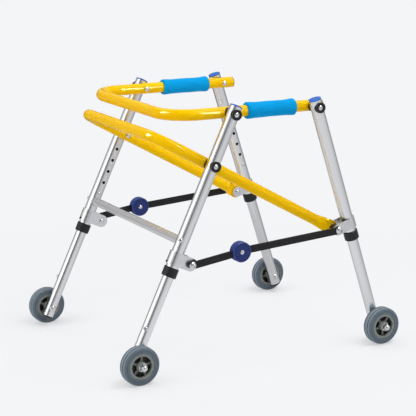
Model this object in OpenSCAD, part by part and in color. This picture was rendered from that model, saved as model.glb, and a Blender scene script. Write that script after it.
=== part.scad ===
// Child's posterior walker: a folding tube frame on four wheels, open at the front.
// Millimetres. +X is the way the child walks, +Y the child's left, +Z up.
// The origin is on the floor, midway between the axles and between the two sides.
// Every side piece is drawn on the left and mirrored for the right.

/* [Frame] */
// Distance between the front and rear axles
wheelbase = 547; // [520:1:580]
// Height of the upper rail's centre line above the floor
rail_h = 496; // [480:1:520]
// Rear leg pivots, behind the middle of the wheelbase
rear_pivot_back = 61; // [50:1:70]
// Front leg pivots, ahead of the middle of the wheelbase
front_pivot_ahead = 125; // [115:1:140]
// Half the distance between the left and right leg planes
leg_y = 205.5; // [190:0.5:240]
// Lower rail pivot, down the rear leg from the upper rail pivot
lower_pivot_t = 105.5; // [98:0.5:110]

/* [Leg tubes] */
// Outer diameter of the upper legs
leg_d = 25; // [24:0.5:27]
// Wall of the upper legs
leg_wall = 1.2; // [1:0.05:1.3]
// Wall of the lower legs, which slide in the upper ones
lower_leg_wall = 1.5; // [1:0.1:2.5]
// Upper leg above its top pivot
leg_top = 15; // [14:0.5:20]
// Rear upper leg below its top pivot
rear_tube_len = 327; // [314:1:335]
// Front upper leg below its top pivot
front_tube_len = 284; // [275:1:300]
// Lower leg below the axle
foot_len = 18; // [15:0.5:22]
// Amount by which the collar's diameter exceeds that of its leg
collar_d = 4.2; // [3.5:0.1:4.8]
// Height of the collar
collar_h = 19; // [12:0.5:20]
// Collar lip below the end of the upper leg
collar_lip = 4; // [2:0.5:8]
// Thickness of the cap on top of a leg
cap_t = 3.5; // [2:0.5:6]

/* [Height adjustment] */
// Spacing of the adjustment holes
hole_pitch = 25.4; // [20:0.1:25.6]
// Number of adjustment holes in a leg
hole_count = 5; // [2:1:5]
// Diameter of the snap button
button_d = 6; // [5:0.1:7]
// Snap button above the foot of the upper leg, rear legs
rear_button_t = 85; // [80:1:90]
// Snap button above the foot of the upper leg, front legs
front_button_t = 85; // [75:1:95]
// Lower leg above its snap button
button_in = 20; // [12:1:24]

/* [Rails] */
// Outer diameter of the rails
rail_d = 22; // [19:0.5:23]
// Wall of the rails
rail_wall = 1.5; // [1:0.1:2.5]
// Radius of the rails' corner bends
bend_r = 62; // [45:1:90]
// Upper rail's crossbar behind the rear pivots
upper_back = 120.5; // [110:0.5:130]
// Lower rail's crossbar behind its pivots
lower_back = 120; // [112:0.5:122]
// Upper rail past the front pivots
rail_front = 23.5; // [18:0.5:40]
// Height of the lower rail's flattened end
tongue_h = 28; // [27.5:0.5:33]
// Thickness of the lower rail's flattened end
tongue_t = 3; // [2.5:0.1:4]
// Length of the fully flattened end, back from its bolt
tongue_flat = 17; // [16.5:0.5:30]
// Length over which the round tube is pressed flat
press_len = 22; // [20:1:60]
// Depth of the curved crease where the flat begins
crease = 4.5; // [3:0.5:5]
// Wall of a rail end plug's flange
plug_t = 3; // [1.5:0.5:5]

/* [Grips] */
// Length of a foam grip
grip_len = 108; // [90:1:120]
// Grip's rear end ahead of the rear pivot
grip_from = 41; // [38:1:45]
// Diameter of the grip at its ends
grip_d = 33.4; // [28:0.2:34]
// Amount by which the grip draws in along its middle, on the radius
grip_waist = 0.9; // [0.2:0.1:2]
// Rounding of the grip's end edges
grip_round = 3.5; // [2:0.5:4]

/* [Brackets] */
// Height of a rear bracket, which is also the width of its ears
bracket_h = 26; // [22:0.5:28]
// Height of a front bracket, which is also the width of its ears
front_bracket_h = 22; // [20:0.5:24]
// Thickness of the bracket strap
strap_t = 2.5; // [2:0.1:3.5]
// Rear bracket bolt above the foot of the upper leg
rear_bracket_t = 32.5; // [29:0.5:36]
// Rear bracket bolt, ahead of the leg's axis
rear_ear = 28; // [27:0.5:32]
// Front bracket bolt above the foot of the upper leg
front_bracket_t = 33; // [27.5:0.5:38]
// Front bracket bolt, behind the leg's axis
front_ear = 33; // [32.5:0.5:36]
// Diameter of the cross tube between the rear legs
cross_d = 17; // [12:0.5:20]
// Wall of the cross tube
cross_wall = 1.5; // [1:0.1:2]
// Cross tube above the foot of the rear upper leg
cross_t = 67; // [60:0.5:70]

/* [Brace] */
// Width of the brace bars
bar_w = 14; // [12:0.5:17]
// Thickness of the brace bars
bar_t = 4; // [3:0.1:5]
// Brace hinge ahead of the rear bracket bolt
hinge_at = 105.5; // [102:0.5:112]
// Brace hinge above the straight line between the brace's ends
hinge_lift = 5; // [0:0.5:8]
// Diameter of the round hinge cover
hinge_d = 40; // [36:0.5:44]
// Thickness of each half of the hinge cover
hinge_plate = 4.2; // [3:0.1:6]
// Wall of the hinge cover's skirt
hinge_wall = 3; // [2:0.5:4]
// Diameter of the hinge rivet's heads
rivet_d = 8.5; // [7:0.5:12]
// Diameter of the brace bolt heads
brace_head_d = 15; // [10:0.5:16]

/* [Wheels] */
// Diameter of the wheels
wheel_d = 76; // [70:1:90]
// Width of the tyres
wheel_w = 22.5; // [20:0.5:28]
// Rounding of the tyre's shoulders
tyre_shoulder = 6; // [3:0.5:8]
// Width of the grooves round the tread
groove_w = 1.5; // [1:0.1:2.5]
// Depth of the grooves round the tread
groove_deep = 0.8; // [0.4:0.1:1.5]
// Outer diameter of the hub's rim, inside the tyre
rim_d = 51; // [48:0.5:56]
// Inner diameter of the hub's rim
rim_in_d = 41; // [36:0.5:44]
// Diameter of the hub's boss
boss_d = 20; // [16:0.5:24]
// Number of spokes
spoke_count = 5; // [3:1:7]
// Thickness of a spoke
spoke_t = 4.5; // [3:0.5:6]
// Spokes set in from the sides of the tyre
spoke_inset = 6; // [2:0.5:8]
// Diameter of the axle
axle_d = 8; // [6:0.5:10]
// Gap between the lower leg and the wheel, filled by a bush
wheel_gap = 2; // [1:0.1:6]
// Width of the axle's cap nut across its flats
axle_nut_d = 13; // [11.5:0.5:16]
// Length of the axle's cap nut
axle_nut_h = 15; // [10:0.5:18]

/* [Pivots] */
// Diameter of the pivot bolts
bolt_d = 6; // [5:0.5:8]
// Diameter of the bolt heads on the legs
head_d = 11; // [10:0.5:12.5]
// Hexagon socket in a bolt head across its flats, as a share of the head
socket_share = 0.36; // [0.2:0.01:0.45]
// Diameter of the cup washers and saddles
washer_d = 21; // [18:0.5:21.5]
// Thickness of a saddle at its waist
saddle_t = 0.9; // [0.6:0.1:2]
// Thickness of a cup washer at its waist
cup_t = 2; // [1:0.1:4]
// Height of a cup washer's rim
cup_rim = 1.2; // [0.5:0.1:2]

/* [Fits] */
// Gap between pieces that move past each other, and between a grip and its rail
clear = 0.3; // [0.2:0.05:0.5]
// Radial gap of a pivot bolt or axle in what turns on it
run = 0.08; // [0.02:0.01:0.1]
// Gap between pieces that are fixed together
seat = 0.04; // [0.01:0.01:0.1]

/* [Hidden] */
$fn = 64;
SIDES = ["left", "right"];
ENDS = ["rear", "front"];

SILVER = "#C9CDD1";
STEEL = "#DDE0E2";
YELLOW = "#F3BE08";
BLUE = "#0095D6";
CAP_BLUE = "#3F72C4";
NAVY = "#28367A";
BLACK = "#303033";
TYRE_GREY = "#5F6B75";
HUB_GREY = "#84877F";

// Legs: their lean and the distance from the top pivot to the axle
rear_pivot_x = -rear_pivot_back;
front_pivot_x = front_pivot_ahead;
axle_drop = rail_h - wheel_d / 2;
rear_reach = wheelbase / 2 - rear_pivot_back;
front_reach = wheelbase / 2 - front_pivot_ahead;
rear_lean = atan2(rear_reach, axle_drop);
front_lean = -atan2(front_reach, axle_drop);
rear_axle_t = norm([rear_reach, axle_drop]);
front_axle_t = norm([front_reach, axle_drop]);
leg_bore = leg_d - 2 * leg_wall;
lower_leg_d = leg_bore - 2 * clear;
lower_leg_bore = lower_leg_d - 2 * lower_leg_wall;
collar_out_d = leg_d + collar_d;

// Fittings near the foot of an upper leg, as distances down from its top pivot
rear_button_down = rear_tube_len - rear_button_t;
front_button_down = front_tube_len - front_button_t;
rear_bracket_down = rear_tube_len - rear_bracket_t;
front_bracket_down = front_tube_len - front_bracket_t;
cross_down = rear_tube_len - cross_t;

// A point of a leg's plane: t down the leg from its top pivot, e ahead of its axis
function leg_point(pivot_x, lean, t, e) =
    [pivot_x - t * sin(lean) + e * cos(lean), rail_h - t * cos(lean) - e * sin(lean)];
lower_pivot = leg_point(rear_pivot_x, rear_lean, lower_pivot_t, 0);
rear_bolt = leg_point(rear_pivot_x, rear_lean, rear_bracket_down, rear_ear);
front_bolt = leg_point(front_pivot_x, front_lean, front_bracket_down, -front_ear);
cross_at = leg_point(rear_pivot_x, rear_lean, cross_down, 0);
lower_len = norm(front_bolt - lower_pivot);
lower_slope = atan2(lower_pivot[1] - front_bolt[1], front_bolt[0] - lower_pivot[0]);

// Brace: its hinge, and the length and rise of each bar
brace_way = (front_bolt - rear_bolt) / norm(front_bolt - rear_bolt);
brace_hinge = rear_bolt + hinge_at * brace_way + hinge_lift * [-brace_way[1], brace_way[0]];
rear_bar_way = brace_hinge - rear_bolt;
front_bar_way = front_bolt - brace_hinge;
rear_bar_len = norm(rear_bar_way);
front_bar_len = norm(front_bar_way);
rear_bar_rise = atan2(rear_bar_way[1], rear_bar_way[0]);
front_bar_rise = atan2(front_bar_way[1], front_bar_way[0]);

// Layers outward from a leg's plane
saddle_gap = 2 * saddle_t + clear;
rail_off = leg_d / 2 + saddle_gap + rail_d / 2;
rail_y = leg_y - rail_off;
rail_inner = rail_off + rail_d / 2;
cup_face = leg_d / 2 + cup_t;
head_h = 3.2;
nut_d = 10;
nut_h = 4.5;
ear_in = leg_d / 2 + seat;
ear_out = ear_in + strap_t;
front_bar_in = ear_out + clear;
front_bar_out = front_bar_in + bar_t;
rear_bar_in = front_bar_out + clear;
rear_bar_out = rear_bar_in + bar_t;
brace_head_h = 4.2;
tongue_washer_t = 1.2;
tongue_off = ear_in - tongue_washer_t - clear - tongue_t / 2;
tongue_y = leg_y - tongue_off;
spacer_d = 14;
wheel_off = lower_leg_d / 2 + wheel_gap + wheel_w / 2;
rail_bore = rail_d - 2 * rail_wall;

// Room in the flattened end for its bolt, which drifts across the rail as the frame folds
slip_up = 6.7;
slip_down = 6.1;
slip_ahead = 2.9;
slot_r = bolt_d / 2 + clear + slip_ahead / 2;
// Centre of the flattened end's rounding, behind its bolt
tongue_back = 2;

module on(side) {
    if (side == "left") children();
    else mirror([0, 1, 0]) children();
}

// Frames of a left leg: origin at its top pivot, Z up the tube, X ahead
module at_leg(end) {
    pivot_x = end == "rear" ? rear_pivot_x : front_pivot_x;
    lean = end == "rear" ? rear_lean : front_lean;
    translate([pivot_x, leg_y, rail_h]) rotate([0, lean, 0]) children();
}

// Frames of the left brace's bars: origin at a bar's rear end, X along it
module at_rear_bar() {
    translate([rear_bolt[0], leg_y, rear_bolt[1]]) rotate([0, -rear_bar_rise, 0]) children();
}

module at_front_bar() {
    translate([brace_hinge[0], leg_y, brace_hinge[1]]) rotate([0, -front_bar_rise, 0]) children();
}

// Frame of the lower rail: origin between its pivots, X along its arms
module at_lower_rail() {
    translate([lower_pivot[0], 0, lower_pivot[1]]) rotate([0, lower_slope, 0]) children();
}

// A round bar along Y
module across(d, y_from, y_to) {
    translate([0, y_to, 0]) rotate([90, 0, 0]) cylinder(d = d, h = y_to - y_from);
}

// A shallow dome on the XY plane
module dome(d, h) {
    r = (d * d / 4 + h * h) / (2 * h);
    intersection() {
        translate([0, 0, h - r]) sphere(r);
        cylinder(d = d, h = h);
    }
}

// A domed head on an outward (+Y) face
module head_out(y, d, h) {
    translate([0, y, 0]) rotate([-90, 0, 0]) dome(d, h);
}

// A domed bolt head on an outward face, with a hexagon socket to half its height
module socket_head(y, d, h) {
    difference() {
        head_out(y, d, h);
        translate([0, y + h / 2, 0]) rotate([-90, 0, 0])
            cylinder(d = socket_share * d / cos(30), h = h, $fn = 6);
    }
}

// A cap nut on an inward (-Y) face, drilled for the end of its bolt
module nut_in(y) {
    side_h = 0.55 * nut_h;
    drill_h = 0.7 * nut_h;
    translate([0, y, 0]) rotate([90, 0, 0]) difference() {
        union() {
            cylinder(d = nut_d, h = side_h);
            translate([0, 0, side_h]) dome(nut_d, nut_h - side_h);
        }
        translate([0, 0, -1]) cylinder(d = bolt_d + 2 * seat, h = drill_h + 1);
    }
}

// Upper leg tube: bolt holes right through, adjustment holes on the inner side
module upper_leg(tube_len, pivots, button_t) {
    color(SILVER) difference() {
        translate([0, 0, -tube_len]) cylinder(d = leg_d, h = tube_len + leg_top);
        translate([0, 0, -tube_len - 1]) cylinder(d = leg_bore, h = tube_len + leg_top + 2);
        for (t = pivots) translate([0, 0, -t]) across(bolt_d + 2 * seat, -leg_d, leg_d);
        for (i = [0:hole_count - 1])
            translate([0, 0, i * hole_pitch - button_t]) across(button_d + 2 * clear, -leg_d, 0);
    }
}

module leg_cap() {
    skirt = 8;
    edge = 1.5;
    color(CAP_BLUE) translate([0, 0, leg_top]) {
        translate([0, 0, -skirt]) cylinder(d = leg_bore - 2 * seat, h = skirt);
        cylinder(d = leg_d + 2 * seat, h = cap_t - edge);
        translate([0, 0, cap_t - edge]) dome(leg_d + 2 * seat, edge);
    }
}

// Collar: sleeve round the foot of the upper leg, with a lip that guides the lower leg
module collar(tube_len) {
    edge = 1;
    color(BLACK) translate([0, 0, -tube_len - collar_lip]) difference() {
        union() {
            cylinder(d1 = collar_out_d - 2 * edge, d2 = collar_out_d, h = edge);
            translate([0, 0, edge]) cylinder(d = collar_out_d, h = collar_h - 2 * edge);
            translate([0, 0, collar_h - edge])
                cylinder(d1 = collar_out_d, d2 = collar_out_d - 2 * edge, h = edge);
        }
        translate([0, 0, -1]) cylinder(d = leg_bore, h = collar_h + 2);
        translate([0, 0, collar_lip]) cylinder(d = leg_d + 2 * seat, h = collar_h);
    }
}

// Bracket: strap bent round the leg, its two ears drilled for one bolt ahead of it
module bracket(t, ear, h) {
    color(STEEL) translate([0, 0, -t]) difference() {
        intersection() {
            translate([0, 0, -h / 2]) linear_extrude(h) difference() {
                union() {
                    circle(ear_out);
                    translate([0, -ear_out]) square([ear + h, 2 * ear_out]);
                }
                circle(ear_in);
                translate([0, -ear_in]) square([ear + 2 * h, 2 * ear_in]);
            }
            union() {
                translate([-2 * ear_out, -2 * ear_out, -h / 2])
                    cube([2 * ear_out + ear, 4 * ear_out, h]);
                translate([ear, 0, 0]) across(h, -2 * ear_out, 2 * ear_out);
            }
        }
        translate([ear, 0, 0]) across(bolt_d + 2 * seat, -2 * ear_out, 2 * ear_out);
    }
}

// Pivot bolt through leg and rail, at t down the leg: domed head outside, cap nut inside
module rail_bolt(t) {
    nut_face = -(rail_inner + clear);
    translate([0, 0, -t]) {
        socket_head(cup_face, head_d, head_h);
        across(bolt_d, nut_face - nut_h / 2, cup_face);
        nut_in(nut_face);
    }
}

// Cup washer outside the leg and saddle inside it, both hollowed to the tube
module leg_washers(t) {
    wrap = 5;
    cup_d = head_d + 2;
    color(BLACK) difference() {
        translate([0, 0, -t]) difference() {
            union() {
                across(washer_d, leg_d / 2 - wrap, cup_face + cup_rim);
                across(washer_d, -leg_d / 2 - saddle_t, wrap - leg_d / 2);
            }
            across(cup_d, cup_face, cup_face + 2 * cup_rim);
            across(bolt_d + 2 * seat, -leg_d, leg_d);
        }
        translate([0, 0, -t - washer_d]) cylinder(d = leg_d + 2 * seat, h = 2 * washer_d);
    }
}

// Saddle between a rail and a leg, hollowed to the rail, which runs along X
module rail_saddle() {
    wrap = 6;
    color(BLACK) translate([0, rail_y, 0]) difference() {
        across(washer_d, rail_d / 2 - wrap, rail_d / 2 + saddle_t);
        translate([-washer_d, 0, 0]) rotate([0, 90, 0]) cylinder(d = rail_d + 2 * seat, h = 2 * washer_d);
        across(bolt_d + 2 * run, 0, rail_d);
    }
}

// Rail bent into a U: arms along X at +-rail_y, crossbar at -back, in the XY plane
module u_tube(d, back, front) {
    for (side = SIDES) on(side) {
        translate([bend_r - back, rail_y, 0]) rotate([0, 90, 0])
            cylinder(d = d, h = front + back - bend_r);
        translate([bend_r - back, rail_y - bend_r, 0]) rotate([0, 0, 90])
            rotate_extrude(angle = 90) translate([bend_r, 0]) circle(d = d);
    }
    translate([-back, 0, 0]) across(d, bend_r - rail_y, rail_y - bend_r);
}

// Upper rail: frame at the rear pivots' height
module upper_rail() {
    span = front_pivot_x - rear_pivot_x;
    color(YELLOW) translate([rear_pivot_x, 0, rail_h]) difference() {
        u_tube(rail_d, upper_back, span + rail_front);
        u_tube(rail_bore, upper_back, span + rail_front);
        for (x = [0, span]) translate([x, 0, 0]) across(bolt_d + 2 * run, -leg_y, leg_y);
    }
}

module upper_rail_saddles() {
    for (side = SIDES) on(side)
        for (x = [rear_pivot_x, front_pivot_x]) translate([x, 0, rail_h]) rail_saddle();
}

module rail_end_plugs() {
    skirt = 8;
    color(BLACK) for (side = SIDES) on(side)
        translate([front_pivot_x + rail_front, rail_y, rail_h]) rotate([0, 90, 0]) {
            translate([0, 0, -skirt]) cylinder(d = rail_bore - 2 * seat, h = skirt);
            cylinder(d = rail_d, h = plug_t / 2);
            translate([0, 0, plug_t / 2]) dome(rail_d, plug_t / 2);
        }
}

// Foam grip: sleeve with rounded ends, drawn in a little along its middle
module grip() {
    r_end = grip_d / 2;
    r_waist = r_end - grip_waist;
    r_core = rail_d / 4;
    half = grip_len / 2;
    bead = half - grip_round;
    taper = half - 6 * grip_round;
    color(BLUE) difference() {
        rotate_extrude() {
            translate([r_core, -half]) square([r_end - grip_round - r_core, grip_len]);
            polygon([[r_core, -bead], [r_end, -bead], [r_waist, -taper],
                     [r_waist, taper], [r_end, bead], [r_core, bead]]);
            for (e = [-bead, bead]) translate([r_end - grip_round, e]) circle(grip_round);
        }
        cylinder(r = rail_d / 2 + clear, h = 2 * grip_len, center = true);
    }
}

module grips() {
    for (side = SIDES) on(side)
        translate([rear_pivot_x + grip_from + grip_len / 2, rail_y, rail_h]) rotate([0, 90, 0]) grip();
}

// Pressed stretch of the lower rail: rings that pass from the round tube to the flat tongue.
// The flat begins along an arc of the press, which leaves a curved crease.
press_sides = 28;
press_steps = 12;
crease_r = (tongue_h * tongue_h / 4 + crease * crease) / (2 * crease);
function mix(a, b, u) = a + (b - a) * u;
function ease(u) = u * u * (3 - 2 * u);
function press_ring(x, u, y, half_t, half_h) =
    [for (k = [0:press_sides - 1])
        let (c = cos(360 * k / press_sides), s = sin(360 * k / press_sides), z = half_h * s)
            [x + ease(u) * (crease_r - sqrt(crease_r * crease_r - z * z)),
             y + half_t * sign(c) * pow(abs(c), mix(1, 0.4, ease(u))),
             z]];

module pressed_end() {
    x_flat = lower_len - tongue_flat;
    x_round = x_flat - press_len;
    // The rings start a little inside the tube's skin and end inside the plate
    lap = 2;
    skin = 0.1;
    inset = 4 * skin;
    rings = concat(
        [press_ring(x_round - lap, 0, rail_y, rail_d / 2 - inset, rail_d / 2 - inset)],
        [for (i = [0:press_steps])
            let (u = i / press_steps, e = ease(u))
                press_ring(mix(x_round, x_flat, u), u, mix(rail_y, tongue_y, e),
                           mix(rail_d, tongue_t, e) / 2 - skin, mix(rail_d, tongue_h, e) / 2 - skin)],
        [press_ring(x_flat + lap, 1, tongue_y, tongue_t / 2 - inset, tongue_h / 2 - inset)]);
    n = press_sides;
    last = len(rings) - 1;
    points = concat([for (ring = rings) for (p = ring) p],
                    [[x_round - lap, rail_y, 0], [x_flat + lap, tongue_y, 0]]);
    walls = [for (i = [0:last - 1]) for (k = [0:n - 1]) for (half = [0, 1])
        let (a = i * n + k, b = i * n + (k + 1) % n)
            half == 0 ? [b, a, b + n] : [b + n, a, a + n]];
    first_cap = [for (k = [0:n - 1]) [k, (k + 1) % n, (last + 1) * n]];
    last_cap = [for (k = [0:n - 1]) [last * n + (k + 1) % n, last * n + k, (last + 1) * n + 1]];
    polyhedron(points, concat(walls, first_cap, last_cap));
    // The tongue: a plate with an arched back edge and a rounded front end
    x_plate = x_flat - lap / 2;
    end_x = lower_len - tongue_back;
    translate([0, tongue_y + tongue_t / 2, 0]) rotate([90, 0, 0]) linear_extrude(tongue_t) {
        intersection() {
            translate([x_plate + crease_r, 0]) circle(crease_r);
            translate([x_plate, -tongue_h / 2]) square([crease, tongue_h]);
        }
        translate([x_plate + crease, -tongue_h / 2]) square([end_x - x_plate - crease, tongue_h]);
        translate([end_x, 0]) circle(tongue_h / 2);
    }
}

// Slot across the tongue, long enough for the bolt's drift
module tongue_slot() {
    translate([lower_len + slip_ahead / 2, 0, 0]) {
        translate([0, 0, slip_up]) across(2 * slot_r, 0, leg_y);
        translate([0, 0, -slip_down]) across(2 * slot_r, 0, leg_y);
        translate([-slot_r, 0, -slip_down]) cube([2 * slot_r, leg_y, slip_up + slip_down]);
    }
}

module lower_rail() {
    straight = lower_len - tongue_flat - press_len;
    color(YELLOW) at_lower_rail() difference() {
        union() {
            difference() {
                u_tube(rail_d, lower_back, straight);
                u_tube(rail_bore, lower_back, straight);
            }
            for (side = SIDES) on(side) pressed_end();
        }
        across(bolt_d + 2 * run, -leg_y, leg_y);
        for (side = SIDES) on(side) tongue_slot();
    }
}

module lower_rail_saddles() {
    for (side = SIDES) on(side) at_lower_rail() rail_saddle();
}

// Rear frame: the legs, cross tube and fittings that stay together
module rear_leg() {
    at_leg("rear") upper_leg(rear_tube_len, [0, lower_pivot_t], rear_button_down);
}

module cross_tube() {
    color(SILVER) difference() {
        translate([cross_at[0], 0, cross_at[1]]) difference() {
            across(cross_d, -leg_y, leg_y);
            across(cross_d - 2 * cross_wall, -leg_y - 1, leg_y + 1);
        }
        for (side = SIDES) on(side) at_leg("rear")
            translate([0, 0, -rear_tube_len]) cylinder(d = leg_d + 2 * seat, h = rear_tube_len);
    }
}

module rear_brackets() {
    for (side = SIDES) on(side) at_leg("rear") bracket(rear_bracket_down, rear_ear, bracket_h);
}

module rear_leg_caps() {
    for (side = SIDES) on(side) at_leg("rear") leg_cap();
}

module rear_leg_collars() {
    for (side = SIDES) on(side) at_leg("rear") collar(rear_tube_len);
}

// Bolts of the rear frame: two rail pivots and the brace pivot on each side
module rear_pivot_bolts() {
    brace_face = rear_bar_out + clear;
    color(STEEL) for (side = SIDES) on(side) at_leg("rear") {
        for (t = [0, lower_pivot_t]) rail_bolt(t);
        translate([rear_ear, 0, -rear_bracket_down]) {
            socket_head(brace_face, brace_head_d, brace_head_h);
            across(bolt_d, -ear_out - nut_h / 2, brace_face);
            nut_in(-ear_out);
        }
    }
}

// Washers of the rear frame, and the spacer that carries the brace clear of the bracket
module rear_pivot_washers() {
    for (side = SIDES) on(side) at_leg("rear") {
        for (t = [0, lower_pivot_t]) leg_washers(t);
        color(BLACK) translate([rear_ear, 0, -rear_bracket_down]) difference() {
            across(spacer_d, ear_out, rear_bar_in - clear);
            across(bolt_d + 2 * seat, 0, 2 * rear_bar_in);
        }
    }
}

// Front legs: each swings on the upper rail with its own fittings
module front_leg() {
    at_leg("front") upper_leg(front_tube_len, [0], front_button_down);
}

module front_bracket() {
    at_leg("front") mirror([1, 0, 0]) bracket(front_bracket_down, front_ear, front_bracket_h);
}

module front_leg_cap() {
    at_leg("front") leg_cap();
}

module front_leg_collar() {
    at_leg("front") collar(front_tube_len);
}

// Rail pivot bolt, and the flush stud that holds the lower rail between the bracket's ears
module front_leg_bolts() {
    color(STEEL) at_leg("front") {
        rail_bolt(0);
        translate([-front_ear, 0, -front_bracket_down]) {
            across(bolt_d, -ear_out - nut_h / 2, ear_out);
            nut_in(-ear_out);
        }
    }
}

// Washers of the rail pivot, and the spacers that hold the tongue between the ears
module front_leg_washers() {
    at_leg("front") {
        leg_washers(0);
        color(BLACK) translate([-front_ear, 0, -front_bracket_down]) difference() {
            union() {
                across(spacer_d, -ear_in, tongue_washer_t - ear_in);
                across(spacer_d, tongue_t / 2 + clear - tongue_off, ear_in);
            }
            across(bolt_d + 2 * seat, -2 * ear_in, 2 * ear_in);
        }
    }
}

// Lower legs: tube in the upper leg, drilled for the snap button and the axle
module lower_leg(button_t, axle_t) {
    below = axle_t + foot_len;
    color(SILVER) difference() {
        translate([0, 0, -below]) cylinder(d = lower_leg_d, h = below + button_in - button_t);
        translate([0, 0, -below - 1]) cylinder(d = lower_leg_bore, h = below);
        translate([0, 0, -button_t]) across(button_d + 2 * clear, -leg_d, 0);
        translate([0, 0, -axle_t]) across(axle_d + 2 * seat, -leg_d, leg_d);
    }
}

module foot_plug(axle_t) {
    skirt = 8;
    flange = 3;
    crown = 1.5;
    color(BLACK) translate([0, 0, -axle_t - foot_len]) {
        cylinder(d = lower_leg_bore - 2 * seat, h = skirt);
        mirror([0, 0, 1]) cylinder(d = lower_leg_d, h = flange);
        translate([0, 0, -flange]) mirror([0, 0, 1]) dome(lower_leg_d, crown);
    }
}

// Cap nut of an axle on the XY plane: flange, hexagon and domed cap, drilled for the axle's end
module axle_nut() {
    flange_d = axle_nut_d + 3;
    flange_h = 1.5;
    hex_to = 0.5 * axle_nut_h;
    cap_d = axle_nut_d - 1;
    cap_to = 0.7 * axle_nut_h;
    difference() {
        union() {
            cylinder(d = flange_d, h = flange_h);
            cylinder(d = axle_nut_d / cos(30), h = hex_to, $fn = 6);
            cylinder(d = cap_d, h = cap_to);
            translate([0, 0, cap_to]) dome(cap_d, axle_nut_h - cap_to);
        }
        translate([0, 0, -flange_h]) cylinder(d = axle_d + 2 * seat, h = flange_h + hex_to);
    }
}

// Axle: bolt with a domed head inside the leg, a bush beside the wheel and a cap nut outside it
module axle(axle_t) {
    head_face = -lower_leg_d / 2;
    head_sink = 1;
    wheel_in = wheel_off - wheel_w / 2;
    wheel_out = wheel_off + wheel_w / 2;
    bush_d = axle_d + 6;
    axle_head_d = 14;
    axle_head_h = 4;
    color(STEEL) translate([0, 0, -axle_t]) {
        across(axle_d, head_face - head_sink, wheel_out + axle_nut_h / 2);
        translate([0, head_face, 0]) rotate([90, 0, 0]) dome(axle_head_d, axle_head_h);
        difference() {
            across(bush_d, lower_leg_d / 4, wheel_in - clear);
            across(axle_d + 2 * seat, 0, wheel_in);
            translate([0, 0, -bush_d]) cylinder(d = lower_leg_d + 2 * seat, h = 2 * bush_d);
        }
        translate([0, wheel_out + clear, 0]) rotate([-90, 0, 0]) axle_nut();
    }
}

module at_wheel(axle_t) {
    translate([0, wheel_off, -axle_t]) rotate([-90, 0, 0]) children();
}

// Tyre: rounded shoulders and a groove at each side of the tread
module tyre() {
    r_in = rim_d / 2 + seat;
    r_out = wheel_d / 2;
    tread = wheel_w / 2 - tyre_shoulder;
    color(TYRE_GREY) difference() {
        rotate_extrude() {
            translate([r_in, -wheel_w / 2]) square([r_out - tyre_shoulder - r_in, wheel_w]);
            translate([r_in, -tread]) square([r_out - r_in, 2 * tread]);
            for (e = [-tread, tread]) translate([r_out - tyre_shoulder, e]) circle(tyre_shoulder);
        }
        for (e = [-tread, tread]) rotate_extrude()
            translate([r_out - groove_deep, e - groove_w / 2]) square([2 * groove_deep, groove_w]);
    }
}

// Hub: rim, boss and spokes, with a thin web between the spokes
module hub() {
    rim_inset = 1;
    rim_w = wheel_w - 2 * rim_inset;
    spoke_w = wheel_w - 2 * spoke_inset;
    web_t = 3;
    lap = 1;
    color(HUB_GREY) difference() {
        union() {
            rotate_extrude() translate([rim_in_d / 2, -rim_w / 2]) square([(rim_d - rim_in_d) / 2, rim_w]);
            cylinder(d = boss_d, h = wheel_w, center = true);
            cylinder(d = rim_in_d + 2 * lap, h = web_t, center = true);
            for (i = [0:spoke_count - 1]) rotate((i + 0.5) * 360 / spoke_count)
                translate([boss_d / 2 - lap, -spoke_t / 2, -spoke_w / 2])
                    cube([(rim_in_d - boss_d) / 2 + 2 * lap, spoke_t, spoke_w]);
        }
        cylinder(d = axle_d + 2 * run, h = 2 * wheel_w, center = true);
    }
}

// Snap button: domed pin on one leaf of a V spring inside the lower leg
module snap_button(button_t) {
    leaf_t = 0.8;
    leaf_w = button_d - 1;
    leaf_len = 34;
    bend = 2.4;
    proud = 1.6;
    dome_h = 1.2;
    root = 0.6;
    wall_y = lower_leg_bore / 2 - clear;
    pin_h = leg_d / 2 + proud - wall_y - dome_h + root;
    spread = asin((wall_y - leaf_t - bend) / leaf_len);
    color(STEEL) translate([0, 0, -button_t]) {
        translate([0, root - wall_y, 0]) rotate([90, 0, 0]) {
            cylinder(d = button_d, h = pin_h);
            translate([0, 0, pin_h]) dome(button_d, dome_h);
        }
        translate([0, 0, -leaf_len * cos(spread)]) {
            rotate([0, 90, 0]) difference() {
                cylinder(r = bend, h = leaf_w, center = true);
                cylinder(r = bend - leaf_t, h = leaf_w + 1, center = true);
                translate([-2 * bend, -bend, -leaf_w]) cube([2 * bend, 2 * bend, 2 * leaf_w]);
            }
            for (leaf = [0, 1]) mirror([0, leaf, 0])
                translate([0, bend - leaf_t, 0]) rotate([-spread, 0, 0])
                    translate([-leaf_w / 2, 0, 0]) cube([leaf_w, leaf_t, leaf_len + button_d / 3]);
        }
    }
}

// Brace: two flat bars that fold at a round hinge; the rear bar carries the hinge
module brace_bar(length, y_in, hole_a, hole_b) {
    color(BLACK) translate([0, y_in + bar_t, 0]) rotate([90, 0, 0]) linear_extrude(bar_t) difference() {
        union() {
            translate([0, -bar_w / 2]) square([length, bar_w]);
            for (x = [0, length]) translate([x, 0]) circle(d = bar_w);
        }
        circle(d = hole_a);
        translate([length, 0]) circle(d = hole_b);
    }
}

module brace_rear_bar() {
    at_rear_bar() brace_bar(rear_bar_len, rear_bar_in, bolt_d + 2 * run, bolt_d + 2 * seat);
}

module brace_front_bar() {
    at_front_bar() brace_bar(front_bar_len, front_bar_in, bolt_d + 2 * run, bolt_d + 2 * seat);
}

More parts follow.
